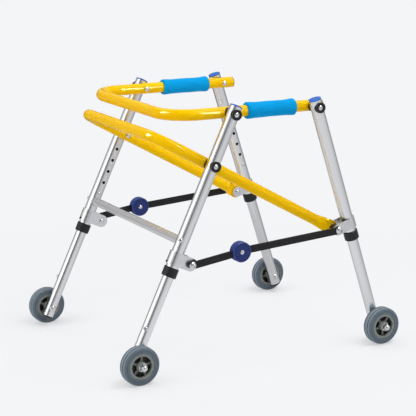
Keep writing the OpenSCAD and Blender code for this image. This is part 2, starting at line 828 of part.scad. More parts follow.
// Hinge cover: two round plates, the outer one with a skirt above the bars
module brace_hinge_cover() {
    edge = 1.4;
    skirt_from = bar_w / 2 + clear;
    color(NAVY) at_rear_bar() translate([rear_bar_len, 0, 0]) {
        difference() {
            union() {
                across(hinge_d, rear_bar_out, rear_bar_out + hinge_plate - edge);
                translate([0, rear_bar_out + hinge_plate - edge, 0]) rotate([-90, 0, 0])
                    cylinder(d1 = hinge_d, d2 = hinge_d - 2 * edge, h = edge);
                difference() {
                    across(hinge_d, ear_out + seat, rear_bar_out);
                    across(hinge_d - 2 * hinge_wall, ear_out - 1, rear_bar_out);
                    translate([-hinge_d, 0, skirt_from - hinge_d])
                        cube([2 * hinge_d, 2 * rear_bar_out, hinge_d]);
                }
            }
            across(bolt_d + 2 * seat, 0, 2 * rear_bar_out);
        }
        difference() {
            union() {
                across(hinge_d, ear_out - hinge_plate + edge, ear_out);
                translate([0, ear_out - hinge_plate + edge, 0]) rotate([90, 0, 0])
                    cylinder(d1 = hinge_d, d2 = hinge_d - 2 * edge, h = edge);
            }
            across(bolt_d + 2 * seat, 0, 2 * rear_bar_out);
        }
    }
}

module brace_hinge_rivet() {
    rivet_h = 1.8;
    color(STEEL) at_rear_bar() translate([rear_bar_len, 0, 0]) {
        across(bolt_d, ear_out - hinge_plate, rear_bar_out + hinge_plate);
        head_out(rear_bar_out + hinge_plate, rivet_d, rivet_h);
        translate([0, ear_out - hinge_plate, 0]) rotate([90, 0, 0]) dome(rivet_d, rivet_h);
    }
}

// Screw in the front end of the brace, level with the inner face of its bar
module brace_front_screw() {
    color(STEEL) at_front_bar() translate([front_bar_len, 0, 0]) {
        across(bolt_d, front_bar_in, front_bar_out);
        socket_head(front_bar_out, brace_head_d, brace_head_h);
    }
}

cross_tube();
rear_brackets();
rear_leg_caps();
rear_leg_collars();
rear_pivot_bolts();
rear_pivot_washers();
upper_rail();
upper_rail_saddles();
rail_end_plugs();
grips();
lower_rail();
lower_rail_saddles();
for (side = SIDES) on(side) {
    rear_leg();
    front_leg();
    front_bracket();
    front_leg_cap();
    front_leg_collar();
    front_leg_bolts();
    front_leg_washers();
    brace_rear_bar();
    brace_hinge_cover();
    brace_hinge_rivet();
    brace_front_bar();
    brace_front_screw();
    for (end = ENDS) at_leg(end) {
        axle_t = end == "rear" ? rear_axle_t : front_axle_t;
        button_t = end == "rear" ? rear_button_down : front_button_down;
        lower_leg(button_t, axle_t);
        foot_plug(axle_t);
        axle(axle_t);
        at_wheel(axle_t) tyre();
        at_wheel(axle_t) hub();
        snap_button(button_t);
    }
}
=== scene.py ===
import math

import bmesh
import bpy
import numpy as np
from mathutils import Matrix, Vector


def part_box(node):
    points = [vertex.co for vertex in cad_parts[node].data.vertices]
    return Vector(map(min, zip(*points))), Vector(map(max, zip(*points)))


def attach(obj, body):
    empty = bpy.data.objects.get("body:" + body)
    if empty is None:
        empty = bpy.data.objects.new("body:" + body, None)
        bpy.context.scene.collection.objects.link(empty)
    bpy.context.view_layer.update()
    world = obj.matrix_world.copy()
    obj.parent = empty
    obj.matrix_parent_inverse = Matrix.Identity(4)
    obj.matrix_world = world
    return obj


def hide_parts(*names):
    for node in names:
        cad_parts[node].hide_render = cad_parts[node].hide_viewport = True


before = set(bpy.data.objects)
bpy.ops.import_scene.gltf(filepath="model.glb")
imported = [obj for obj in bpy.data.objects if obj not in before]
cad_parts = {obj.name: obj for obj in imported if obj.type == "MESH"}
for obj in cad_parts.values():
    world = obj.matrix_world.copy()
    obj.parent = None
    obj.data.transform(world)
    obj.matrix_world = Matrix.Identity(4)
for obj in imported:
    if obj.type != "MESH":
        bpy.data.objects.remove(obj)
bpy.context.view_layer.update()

# Leg tubes: drawn aluminium, the upper ones 25 mm across and the lower ones 22 mm, satin anodised.
# The die leaves faint lines along each tube, so the sheen breaks into streaks that follow the leg.
# Going up, the rear legs lean forwards and the front legs backwards, and each pattern is turned to its leg.
SIDES = {"left": 1.0, "right": -1.0}
RAIL_HEIGHT = 0.496
AXLE_HEIGHT = 0.038
HALF_WHEELBASE = 0.2735
REAR_PIVOT_X = -0.061
FRONT_PIVOT_X = 0.125
LEG_PLANE = 0.2055
UPPER_LEG_R = 0.0125
UPPER_LEG_BORE_R = 0.0113
LOWER_LEG_R = 0.0110
LOWER_LEG_BORE_R = 0.0095
DRAWN_LINE = (0.002, 0.002, 0.15)
# Each end's top pivot, and the lean from upright of the line from its axle to that pivot.
LEGS = {end: (pivot_x, math.atan2(pivot_x - axle_x, RAIL_HEIGHT - AXLE_HEIGHT))
        for end, pivot_x, axle_x in (("rear", REAR_PIVOT_X, -HALF_WHEELBASE),
                                     ("front", FRONT_PIVOT_X, HALF_WHEELBASE))}


def linear(hex_colour):
    """Linear RGBA of an sRGB hex colour: each channel through the sRGB curve, alpha 1."""
    c = np.array([int(hex_colour[i:i + 2], 16) for i in (1, 3, 5)]) / 255.0
    c = np.where(c <= 0.04045, c / 12.92, ((c + 0.055) / 1.055) ** 2.4)
    return (*[float(v) for v in c], 1.0)


def add(tree, kind, sockets=None, **settings):
    """Adds one node: settings are its properties, and each socket gets a value or a link."""
    made = tree.nodes.new(kind)
    for name, value in settings.items():
        setattr(made, name, value)
    for name, value in (sockets or {}).items():
        if isinstance(value, bpy.types.NodeSocket):
            tree.links.new(value, made.inputs[name])
        else:
            made.inputs[name].default_value = value
    return made


def surface(name, **constants):
    """A new material, with the constant sockets of its shader set by name, underscores for spaces.
    Gives the material, its node tree, its shader and its Object coordinates."""
    material = bpy.data.materials.new(name)
    material.use_nodes = True
    tree = material.node_tree
    shader = tree.nodes["Principled BSDF"]
    for socket, value in constants.items():
        shader.inputs[socket.replace("_", " ")].default_value = value
    return material, tree, shader, add(tree, "ShaderNodeTexCoord").outputs["Object"]


def dress(material, *names):
    """Puts one material on CAD nodes, in every slot that they have."""
    for name in names:
        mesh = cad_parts[name].data
        if not mesh.materials:
            mesh.materials.append(material)
        for i in range(len(mesh.materials)):
            mesh.materials[i] = material


def distance(tree, value, place=0.0):
    """How far a value lies from a place, worked out by nodes: the size of value minus place."""
    less = add(tree, "ShaderNodeMath", {0: value, 1: place}, operation="SUBTRACT").outputs[0]
    return add(tree, "ShaderNodeMath", {0: less}, operation="ABSOLUTE").outputs[0]


def diagonal(tree, across, along):
    """Length of the diagonal of a rectangle, worked out by nodes from its two sides."""
    sides = add(tree, "ShaderNodeCombineXYZ", {"X": across, "Y": along}).outputs["Vector"]
    return add(tree, "ShaderNodeVectorMath", {0: sides}, operation="LENGTH").outputs["Value"]


def drawn_aluminium(name, turn, pivot_x=0.0, outer_r=0.0, bore_r=0.0):
    """Anodised tube: streaks 2 mm apart and 150 mm long, coarser than real so that they show.
    Faint clouds lie over them. A leg's bore, nearer to its axis than its outside, is painted dark as the
    shade inside the tube."""
    material, tree, shader, where = surface(name, Metallic=1.0)
    along = add(tree, "ShaderNodeMapping", {"Vector": where, "Rotation": turn, "Scale": DRAWN_LINE},
                vector_type="TEXTURE").outputs["Vector"]
    lines = add(tree, "ShaderNodeTexNoise",
                {"Vector": along, "Scale": 1.0, "Detail": 4.0}).outputs["Fac"]
    cloud = add(tree, "ShaderNodeTexNoise",
                {"Vector": where, "Scale": 1 / 0.045, "Detail": 2.0}).outputs["Fac"]
    streak = add(tree, "ShaderNodeMapRange",
                 {"Value": lines, "From Min": 0.3, "From Max": 0.7}).outputs["Result"]
    tone = add(tree, "ShaderNodeMixRGB",
               {"Fac": streak, "Color1": linear("#E6E8EA"), "Color2": linear("#F5F6F7")}).outputs["Color"]
    tone = add(tree, "ShaderNodeMixRGB",
               {"Fac": cloud, "Color1": tone, "Color2": linear("#EEEFF1")}).outputs["Color"]
    # Painted shade: inside a leg's bore the tone goes dark, standing in for the tube's shade.
    if bore_r:
        edge = 0.0002
        leg = add(tree, "ShaderNodeMapping",
                  {"Vector": where, "Location": (pivot_x, 0, RAIL_HEIGHT), "Rotation": turn},
                  vector_type="TEXTURE").outputs["Vector"]
        split = add(tree, "ShaderNodeSeparateXYZ", {"Vector": leg}).outputs
        radius = diagonal(tree, split["X"], distance(tree, distance(tree, split["Y"]), LEG_PLANE))
        bore_shade = add(tree, "ShaderNodeMapRange",
                     {"Value": radius, "From Min": bore_r + edge, "From Max": outer_r - edge,
                      "To Min": 1.0, "To Max": 0.0}).outputs["Result"]
        tone = add(tree, "ShaderNodeMixRGB",
                   {"Fac": bore_shade, "Color1": tone, "Color2": linear("#2A2B2D")}).outputs["Color"]
    rough = add(tree, "ShaderNodeMapRange",
                {"Value": lines, "To Min": 0.16, "To Max": 0.30}).outputs["Result"]
    ridge = add(tree, "ShaderNodeBump",
                {"Height": lines, "Strength": 0.1, "Distance": 0.0004}).outputs["Normal"]
    tree.links.new(tone, shader.inputs["Base Color"])
    tree.links.new(rough, shader.inputs["Roughness"])
    tree.links.new(ridge, shader.inputs["Normal"])
    return material


for end, (pivot_x, lean) in LEGS.items():
    upper = drawn_aluminium(f"satin anodised aluminium tube, {end} upper legs", (0, lean, 0),
                            pivot_x, UPPER_LEG_R, UPPER_LEG_BORE_R)
    lower = drawn_aluminium(f"satin anodised aluminium tube, {end} lower legs", (0, lean, 0),
                            pivot_x, LOWER_LEG_R, LOWER_LEG_BORE_R)
    for side in SIDES:
        dress(upper, f"{end}_leg_{side}")
        dress(lower, f"lower_leg_{end}_{side}")

# Cross tube: 17 mm aluminium between the rear legs, its ends cut to the legs and welded there.
# A weld bead, laid by hand in small overlapping puddles, runs round each end.
CROSS_DOWN = 0.260
CROSS_R = 0.0085
BEAD_R = 0.0013
PUDDLE_SWELL = 0.0003
PUDDLES = 24
dress(drawn_aluminium("satin anodised aluminium tube, across", (math.pi / 2, 0, 0)), "cross_tube")


def skin(name, grid, body, material, poles=False, end_rows=0, end_material=None):
    """Closed skin over a grid of points: a quad joins (i, j), (i + 1, j), (i + 1, j + 1) and (i, j + 1).
    Both ways the last meets the first, but with poles the first and last rows are single points instead.
    Double points are merged and faces turned outwards. The last end_rows rows take the end material."""
    n, m = grid.shape[:2]
    i, j = np.meshgrid(np.arange(n - 1 if poles else n), np.arange(m), indexing="ij")
    i2, j2 = (i + 1) % n, (j + 1) % m
    quads = np.stack([i * m + j, i2 * m + j, i2 * m + j2, i * m + j2], axis=-1).reshape(-1, 4)
    mesh = bpy.data.meshes.new(name)
    mesh.from_pydata(grid.reshape(-1, 3).tolist(), [], quads.tolist())
    mesh.materials.append(material)
    if end_rows:
        mesh.materials.append(end_material)
        at_end = i.ravel() >= i.max() + 1 - end_rows
        mesh.polygons.foreach_set("material_index", at_end.astype(np.int32))
    work = bmesh.new()
    work.from_mesh(mesh)
    bmesh.ops.remove_doubles(work, verts=work.verts, dist=1e-7)
    bmesh.ops.recalc_face_normals(work, faces=work.faces)
    work.to_mesh(mesh)
    work.free()
    mesh.polygons.foreach_set("use_smooth", np.ones(len(mesh.polygons), dtype=bool))
    piece = bpy.data.objects.new(name, mesh)
    bpy.context.scene.collection.objects.link(piece)
    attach(piece, body)
    return piece


def on_leg(points, end, sign):
    """From a leg's own frame to the walker's: x ahead, y outwards, z up the tube, from its top pivot.
    The points are turned by the leg's lean, moved to the pivot and mirrored to the leg's side."""
    pivot_x, lean = LEGS[end]
    x, y, z = points[..., 0], points[..., 1], points[..., 2]
    return np.stack([pivot_x + x * math.cos(lean) + z * math.sin(lean),
                     sign * (LEG_PLANE + y),
                     RAIL_HEIGHT - x * math.sin(lean) + z * math.cos(lean)], axis=-1)


weld_metal, tree, shader, where = surface("aluminium weld bead", Metallic=1.0, Roughness=0.42)
puddle = add(tree, "ShaderNodeTexNoise", {"Vector": where, "Scale": 1 / 0.003, "Detail": 2.0}).outputs["Fac"]
tone = add(tree, "ShaderNodeMixRGB",
           {"Fac": puddle, "Color1": linear("#A9ADB1"), "Color2": linear("#CFD2D5")}).outputs["Color"]
tree.links.new(tone, shader.inputs["Base Color"])
# The bead's centre line is where the cross tube meets the leg: x and z go round the tube, y follows the leg.
# Its radius swells once for each puddle.
round_tube, round_bead = np.meshgrid(np.linspace(0, 2 * np.pi, 192, endpoint=False),
                                     np.linspace(0, 2 * np.pi, 12, endpoint=False), indexing="ij")
bead_r = BEAD_R + PUDDLE_SWELL * np.abs(np.sin(PUDDLES / 2 * round_tube))
ring_r = CROSS_R + bead_r * np.cos(round_bead)
on_wall = np.sqrt(UPPER_LEG_R ** 2 - (CROSS_R * np.cos(round_tube)) ** 2)
bead = np.stack([ring_r * np.cos(round_tube),
                 bead_r * np.sin(round_bead) - on_wall,
                 ring_r * np.sin(round_tube) - CROSS_DOWN], axis=-1)
for side, sign in SIDES.items():
    skin(f"cross_tube_weld_{side}", on_leg(bead, "rear", sign), "rear_frame", weld_metal)

# Brackets, bolts and buttons: pressed and turned steel with a bright zinc plate.
# Plating leaves a soft mirror with faint cloudy spangles a few millimetres across.
zinc, tree, shader, where = surface("bright zinc-plated steel", Metallic=1.0)
cloud = add(tree, "ShaderNodeTexNoise", {"Vector": where, "Scale": 1 / 0.006, "Detail": 3.0}).outputs["Fac"]
tone = add(tree, "ShaderNodeMixRGB",
           {"Fac": cloud, "Color1": linear("#D2D4D6"), "Color2": linear("#EDEEF0")}).outputs["Color"]
rough = add(tree, "ShaderNodeMapRange", {"Value": cloud, "To Min": 0.16, "To Max": 0.36}).outputs["Result"]
tree.links.new(tone, shader.inputs["Base Color"])
tree.links.new(rough, shader.inputs["Roughness"])
dress(zinc, "rear_brackets", "rear_pivot_bolts")
for side in SIDES:
    dress(zinc, f"front_bracket_{side}", f"front_leg_bolts_{side}", f"brace_hinge_rivet_{side}",
          f"brace_front_screw_{side}")
    for end in LEGS:
        dress(zinc, f"axle_{end}_{side}", f"snap_button_{end}_{side}")

# Small pan-head screws on the outer back of each rear leg: one above the bracket, one on the lower leg.
# They are turned steel, 9 mm across, driven into the tube wall, and their recess is painted dark as the shade
# in it.
UPPER_SCREW_DOWN = 0.2585
LOWER_SCREW_DOWN = 0.4376
SCREW_BEARING = math.radians(47)
SCREW_R = 0.0045
SCREW_H = 0.0031
SCREW_SUNK = 0.0010
RECESS_R = 0.0019
RECESS_RIM = 0.91 * SCREW_H
RECESS_FLOOR_R = 0.0016
RECESS_FLOOR = 0.3 * SCREW_H


def lathe(profile, count):
    """Turns a profile of (radius, height) points about the height axis: one ring of count points for each."""
    angle = np.linspace(0, 2 * np.pi, count, endpoint=False)
    r, h = profile[:, :1], profile[:, 1:]
    return np.stack([r * np.cos(angle), r * np.sin(angle), h + 0 * angle], axis=-1)


def against_tube(turned, down, tube_r, bearing):
    """Sets a turned piece square on a leg tube, at a distance down the leg.
    The bearing goes round the tube from straight outwards to the back."""
    outward = np.array([-math.sin(bearing), math.cos(bearing), 0.0])
    level = np.array([math.cos(bearing), math.sin(bearing), 0.0])
    up_leg = np.array([0.0, 0.0, 1.0])
    return (turned[..., :1] * level + (turned[..., 1:2] - down) * up_leg
            + (turned[..., 2:] + tube_r) * outward)


# Blackened steel for the strap rivets; the same dark colour in the screw recesses is painted shade.
blackened_steel_and_recess_shade, tree, shader, where = surface("blackened steel and painted recess shade", Metallic=0.6, Specular_IOR_Level=0.2)
cloud = add(tree, "ShaderNodeTexNoise", {"Vector": where, "Scale": 1 / 0.002, "Detail": 3.0}).outputs["Fac"]
tone = add(tree, "ShaderNodeMixRGB",
           {"Fac": cloud, "Color1": linear("#2A2C2E"), "Color2": linear("#44474A")}).outputs["Color"]
rough = add(tree, "ShaderNodeMapRange", {"Value": cloud, "To Min": 0.45, "To Max": 0.65}).outputs["Result"]
tree.links.new(tone, shader.inputs["Base Color"])
tree.links.new(rough, shader.inputs["Roughness"])
# The head follows an ellipse from its rim up to 70 degrees, then drops into the round recess.
sweep = np.radians(np.arange(0, 80, 10))
head = np.stack([SCREW_R * np.cos(sweep), SCREW_H * np.sin(sweep)], axis=-1)
recess = [[RECESS_R, RECESS_RIM], [RECESS_FLOOR_R, RECESS_FLOOR], [0.0, RECESS_FLOOR]]
screw = np.concatenate([[[0.0, -SCREW_SUNK], [SCREW_R, -SCREW_SUNK]], head, recess])
for side, sign in SIDES.items():
    for label, down, tube_r, body in (
            ("upper", UPPER_SCREW_DOWN, UPPER_LEG_R, "rear_frame"),
            ("lower", LOWER_SCREW_DOWN, LOWER_LEG_R, f"lower_leg_rear_{side}")):
        placed = against_tube(lathe(screw, 32), down, tube_r, SCREW_BEARING)
        # The recess faces take the dark steel: painted shade.
        skin(f"leg_screw_{label}_{side}", on_leg(placed, "rear", sign), body, zinc,
             poles=True, end_rows=2, end_material=blackened_steel_and_recess_shade)

# Strap rivets: one small blackened rivet in the back of each rear bracket, near the strap's lower edge.
# Its head is a low dome, 5 mm across, that stands 1.8 mm out of the strap.
RIVET_DOWN = 0.3035
RIVET_BEARING = math.radians(98)
RIVET_R = 0.0025
RIVET_H = 0.0018
RIVET_SUNK = 0.0005
STRAP_R = 0.01504
sweep = np.linspace(0, np.pi / 2, 9)
dome = np.stack([RIVET_R * np.cos(sweep), RIVET_H * np.sin(sweep)], axis=-1)
rivet = np.concatenate([[[0.0, -RIVET_SUNK], [RIVET_R, -RIVET_SUNK]], dome])
for side, sign in SIDES.items():
    placed = against_tube(lathe(rivet, 24), RIVET_DOWN, STRAP_R, RIVET_BEARING)
    skin(f"strap_rivet_{side}", on_leg(placed, "rear", sign), "rear_frame", blackened_steel_and_recess_shade,
         poles=True)

# Caps on top of the legs: injection-moulded blue plastic, pushed into the tubes.
# The mould leaves them slightly glossy, with a faint mottle about 4 mm across.
cap_blue, tree, shader, where = surface("moulded blue polypropylene", Roughness=0.34, Specular_IOR_Level=0.15)
mottle = add(tree, "ShaderNodeTexNoise", {"Vector": where, "Scale": 1 / 0.004, "Detail": 3.0}).outputs["Fac"]
tone = add(tree, "ShaderNodeMixRGB",
           {"Fac": mottle, "Color1": linear("#1D5AB2"), "Color2": linear("#2D6AC2")}).outputs["Color"]
grain = add(tree, "ShaderNodeBump",
            {"Height": mottle, "Strength": 0.08, "Distance": 0.0003}).outputs["Normal"]
tree.links.new(tone, shader.inputs["Base Color"])
tree.links.new(grain, shader.inputs["Normal"])
dress(cap_blue, "rear_leg_caps", "front_leg_cap_left", "front_leg_cap_right")

# Collars, washers, saddles and plugs: black moulded nylon with a fine spark-eroded grain.
# Handling polishes it in patches about 2 cm across, so the gloss varies.
black_nylon, tree, shader, where = surface("black moulded nylon", Specular_IOR_Level=0.3)
grit = add(tree, "ShaderNodeTexNoise", {"Vector": where, "Scale": 1 / 0.0009, "Detail": 2.0}).outputs["Fac"]
patch = add(tree, "ShaderNodeTexNoise", {"Vector": where, "Scale": 1 / 0.02, "Detail": 2.0}).outputs["Fac"]
tone = add(tree, "ShaderNodeMixRGB",
           {"Fac": patch, "Color1": linear("#18181A"), "Color2": linear("#27272A")}).outputs["Color"]
rough = add(tree, "ShaderNodeMapRange", {"Value": patch, "To Min": 0.24, "To Max": 0.44}).outputs["Result"]
grain = add(tree, "ShaderNodeBump",
            {"Height": grit, "Strength": 0.18, "Distance": 0.0002}).outputs["Normal"]
tree.links.new(tone, shader.inputs["Base Color"])
tree.links.new(rough, shader.inputs["Roughness"])
tree.links.new(grain, shader.inputs["Normal"])
dress(black_nylon, "rear_leg_collars", "rear_pivot_washers", "upper_rail_saddles", "lower_rail_saddles",
      "rail_end_plugs")
for side in SIDES:
    dress(black_nylon, f"front_leg_collar_{side}", f"front_leg_washers_{side}")
    for end in LEGS:
        dress(black_nylon, f"foot_plug_{end}_{side}")

# Rails: 22 mm tube bent round a former, then powder coated in yellow.
# The coat is smooth, with a faint orange peel of ripples about 2.5 mm across.
# Its gloss is weak and takes on some of the yellow, so highlights stay warm.
yellow_coat, tree, shader, where = surface("yellow powder coat", Specular_IOR_Level=0.12,
                                           Specular_Tint=linear("#FFF6C4"))
peel = add(tree, "ShaderNodeTexNoise", {"Vector": where, "Scale": 1 / 0.0025, "Detail": 1.0}).outputs["Fac"]
patch = add(tree, "ShaderNodeTexNoise", {"Vector": where, "Scale": 1 / 0.06, "Detail": 2.0}).outputs["Fac"]
tone = add(tree, "ShaderNodeMixRGB",
           {"Fac": patch, "Color1": linear("#F1B900"), "Color2": linear("#F8C800")}).outputs["Color"]
rough = add(tree, "ShaderNodeMapRange", {"Value": peel, "To Min": 0.08, "To Max": 0.12}).outputs["Result"]
ripple = add(tree, "ShaderNodeBump",
             {"Height": peel, "Strength": 0.006, "Distance": 0.0004}).outputs["Normal"]
tree.links.new(tone, shader.inputs["Base Color"])
tree.links.new(rough, shader.inputs["Roughness"])
tree.links.new(ripple, shader.inputs["Normal"])
dress(yellow_coat, "upper_rail", "lower_rail")

# Hand grips: blue closed-cell foam sleeves, cut from long tube and pushed onto the rail.
# The foam is matt with a fine skin of burst cells, and it swells a little at its cut ends.
GRIP_R = 0.0167
GRIP_BORE_R = 0.0113
GRIP_ROUND = 0.0036
GRIP_WAIST = 0.0012
GRIP_FLARE = 0.012
GRIP_INSET = 0.0002
FOAM_RIPPLE = 0.00015
foam_blue, tree, shader, where = surface("blue closed-cell foam", Roughness=0.85, Specular_IOR_Level=0.08)
cells = add(tree, "ShaderNodeTexVoronoi", {"Vector": where, "Scale": 1 / 0.0011}).outputs["Distance"]
patch = add(tree, "ShaderNodeTexNoise", {"Vector": where, "Scale": 1 / 0.012, "Detail": 4.0}).outputs["Fac"]
tone = add(tree, "ShaderNodeMixRGB",
           {"Fac": patch, "Color1": linear("#0090D2"), "Color2": linear("#06A0E0")}).outputs["Color"]
# Painted shade: the pits of the burst cells are darker towards their middles.
pore_shade = add(tree, "ShaderNodeMapRange",
           {"Value": cells, "From Max": 0.35, "To Min": 0.35, "To Max": 0.0}).outputs["Result"]
tone = add(tree, "ShaderNodeMixRGB",
           {"Fac": pore_shade, "Color1": tone, "Color2": linear("#007EC0")}).outputs["Color"]
pitted = add(tree, "ShaderNodeBump",
             {"Height": cells, "Strength": 0.35, "Distance": 0.0005}).outputs["Normal"]
tree.links.new(tone, shader.inputs["Base Color"])
tree.links.new(pitted, shader.inputs["Normal"])
low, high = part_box("grips")
grip_from, grip_to = low[0] + GRIP_INSET, high[0] - GRIP_INSET
grip_plane = high[1] - GRIP_R
# The profile runs along the outside, drawn in between the swollen ends, and back along the bore.
along = np.linspace(grip_from + GRIP_ROUND, grip_to - GRIP_ROUND, 110)
from_end = np.minimum(along - grip_from, grip_to - along) - GRIP_ROUND
outer = GRIP_R - GRIP_WAIST * (1 - np.exp(-(from_end / GRIP_FLARE) ** 2))
corner = np.linspace(0, np.pi / 2, 8)[:-1]
start = np.stack([grip_from + GRIP_ROUND * (1 - np.cos(corner)),
                  GRIP_R - GRIP_ROUND * (1 - np.sin(corner))], axis=-1)
finish = np.stack([grip_from + grip_to - start[::-1, 0], start[::-1, 1]], axis=-1)
bore = [[x, GRIP_BORE_R] for x in (grip_to, (grip_from + grip_to) / 2, grip_from)]
profile = np.concatenate([start, np.stack([along, outer], axis=-1), finish, bore])
for side, sign in SIDES.items():
    # Ripples, four and seven to the turn, wind along the sleeve below its full radius, but not in its bore.
    turn = np.linspace(0, 2 * np.pi, 96, endpoint=False)
    x = profile[:, :1] + 0 * turn
    ripple = np.sin(4 * turn + 70 * x) + np.sin(7 * turn - 110 * x + sign) - 2
    r = profile[:, 1:] + np.where(profile[:, 1:] > GRIP_BORE_R + 1e-6, FOAM_RIPPLE * ripple, 0.0)
    grid = np.stack([x, sign * (grip_plane + r * np.cos(turn)), RAIL_HEIGHT + r * np.sin(turn)], axis=-1)
    grip = skin(f"foam_grip_{side}", grid, "upper_rail", foam_blue)
    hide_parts("grips")

# Brace bars: flat steel, 14 by 4 mm, with round ends, powder coated in satin black.
# The coat scuffs grey where the bars rub past each other, in short scratches along them.
# The bars rise forwards by about 8 and 4 degrees, and all scratches take one slope between the two.
SCUFF_SLOPE = math.radians(4.9)
SCUFF = (0.03, 0.002, 0.002)
bar_black, tree, shader, where = surface("satin black powder coat", Specular_IOR_Level=0.25)
peel = add(tree, "ShaderNodeTexNoise", {"Vector": where, "Scale": 1 / 0.0018, "Detail": 2.0}).outputs["Fac"]
along = add(tree, "ShaderNodeMapping", {"Vector": where, "Rotation": (0, -SCUFF_SLOPE, 0), "Scale": SCUFF},
            vector_type="TEXTURE").outputs["Vector"]
scuff = add(tree, "ShaderNodeTexNoise", {"Vector": along, "Scale": 1.0, "Detail": 5.0}).outputs["Fac"]
worn = add(tree, "ShaderNodeMapRange",
           {"Value": scuff, "From Min": 0.58, "From Max": 0.75}).outputs["Result"]
tone = add(tree, "ShaderNodeMixRGB",
           {"Fac": worn, "Color1": linear("#1B1B1D"), "Color2": linear("#303033")}).outputs["Color"]
rough = add(tree, "ShaderNodeMapRange", {"Value": peel, "To Min": 0.38, "To Max": 0.55}).outputs["Result"]
ripple = add(tree, "ShaderNodeBump",
             {"Height": peel, "Strength": 0.12, "Distance": 0.0003}).outputs["Normal"]
tree.links.new(tone, shader.inputs["Base Color"])
tree.links.new(rough, shader.inputs["Roughness"])
tree.links.new(ripple, shader.inputs["Normal"])
for side in SIDES:
    dress(bar_black, f"brace_rear_bar_{side}", f"brace_front_bar_{side}")

# Hinge covers: on each side two moulded navy plastic discs, riveted over the joint of the brace.
# They are lightly glossy. A shallow groove runs round each face, 4 mm inside its edge.
# The groove is painted dark as the shade in it, and the land outside it is painted paler as a highlight on
# its bevel.
COVER_GROOVE_R = 0.016
GROOVE_SIDE = (0.0003, 0.0011)
BEVEL_HIGHLIGHT_FROM = (COVER_GROOVE_R, 0.0175)
low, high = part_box("brace_hinge_cover_left")
navy, tree, shader, where = surface("moulded navy ABS", Roughness=0.30, Specular_IOR_Level=0.3)
split = add(tree, "ShaderNodeSeparateXYZ", {"Vector": where}).outputs
radius = diagonal(tree, distance(tree, split["X"], (low[0] + high[0]) / 2),
                  distance(tree, split["Z"], (low[2] + high[2]) / 2))
# Painted shade: the groove is darker, as the shade in it; the same mask dents it.
groove_dent_and_shade = add(tree, "ShaderNodeMapRange",
             {"Value": distance(tree, radius, COVER_GROOVE_R), "From Min": GROOVE_SIDE[0],
              "From Max": GROOVE_SIDE[1], "To Min": 1.0, "To Max": 0.0}).outputs["Result"]
# Painted highlight: the land outside the groove is paler, as light on its bevel.
bevel_highlight = add(tree, "ShaderNodeMapRange",
           {"Value": radius, "From Min": BEVEL_HIGHLIGHT_FROM[0], "From Max": BEVEL_HIGHLIGHT_FROM[1],
            "To Max": 0.6}).outputs["Result"]
mottle = add(tree, "ShaderNodeTexNoise", {"Vector": where, "Scale": 1 / 0.006, "Detail": 3.0}).outputs["Fac"]
tone = add(tree, "ShaderNodeMixRGB",
           {"Fac": mottle, "Color1": linear("#152562"), "Color2": linear("#1F3474")}).outputs["Color"]
tone = add(tree, "ShaderNodeMixRGB",
           {"Fac": bevel_highlight, "Color1": tone, "Color2": linear("#2E4590")}).outputs["Color"]
tone = add(tree, "ShaderNodeMixRGB",
           {"Fac": groove_dent_and_shade, "Color1": tone, "Color2": linear("#0B1440")}).outputs["Color"]
grain = add(tree, "ShaderNodeBump",
            {"Height": mottle, "Strength": 0.08, "Distance": 0.0003}).outputs["Normal"]
sunk = add(tree, "ShaderNodeBump", {"Height": groove_dent_and_shade, "Strength": 0.6, "Distance": 0.0006, "Normal": grain},
           invert=True).outputs["Normal"]
tree.links.new(tone, shader.inputs["Base Color"])
tree.links.new(sunk, shader.inputs["Normal"])
for side in SIDES:
    dress(navy, f"brace_hinge_cover_{side}")

# Tyres: grey thermoplastic rubber moulded onto the hubs, matt, a little dusty.
# A mould line runs round each sidewall, 31 mm from the axle; it is dented and painted dark as the shade in
# it.
# The tread is scuffed pale, and its two grooves are painted dark as the shade in them.
WHEEL_PLANE = 0.22975
MOULD_LINE_R = 0.031
MOULD_LINE_SIDE = (0.0002, 0.0008)
TREAD_FROM = (0.0358, 0.0372)
TREAD_GROOVE = 0.00525
TREAD_GROOVE_SHADE_SIDE = (0.0008, 0.0012)
rubber, tree, shader, where = surface("grey thermoplastic rubber", Specular_IOR_Level=0.25)
split = add(tree, "ShaderNodeSeparateXYZ", {"Vector": where}).outputs
radius = diagonal(tree, distance(tree, distance(tree, split["X"]), HALF_WHEELBASE),
                  distance(tree, split["Z"], AXLE_HEIGHT))
# Painted shade: a dark line along the mould line's dent.
mould_line_and_shade = add(tree, "ShaderNodeMapRange",
           {"Value": distance(tree, radius, MOULD_LINE_R), "From Min": MOULD_LINE_SIDE[0],
            "From Max": MOULD_LINE_SIDE[1], "To Min": 1.0, "To Max": 0.0}).outputs["Result"]
tread = add(tree, "ShaderNodeMapRange",
            {"Value": radius, "From Min": TREAD_FROM[0], "From Max": TREAD_FROM[1]}).outputs["Result"]
from_middle = distance(tree, distance(tree, split["Y"]), WHEEL_PLANE)
# Painted shade: dark lines along the two tread grooves.
tread_groove_shade = add(tree, "ShaderNodeMapRange",
           {"Value": distance(tree, from_middle, TREAD_GROOVE), "From Min": TREAD_GROOVE_SHADE_SIDE[0],
            "From Max": TREAD_GROOVE_SHADE_SIDE[1], "To Min": 1.0, "To Max": 0.0}).outputs["Result"]
tread_groove_shade = add(tree, "ShaderNodeMath", {0: tread_groove_shade, 1: tread}, operation="MULTIPLY").outputs[0]
dust = add(tree, "ShaderNodeTexNoise", {"Vector": where, "Scale": 1 / 0.010, "Detail": 5.0}).outputs["Fac"]
tone = add(tree, "ShaderNodeMixRGB",
           {"Fac": dust, "Color1": linear("#55616B"), "Color2": linear("#6B7780")}).outputs["Color"]
for share, mark in ((mould_line_and_shade, "#4A555E"), (tread, "#7E8A94"), (tread_groove_shade, "#39424A")):
    tone = add(tree, "ShaderNodeMixRGB",
               {"Fac": share, "Color1": tone, "Color2": linear(mark)}).outputs["Color"]
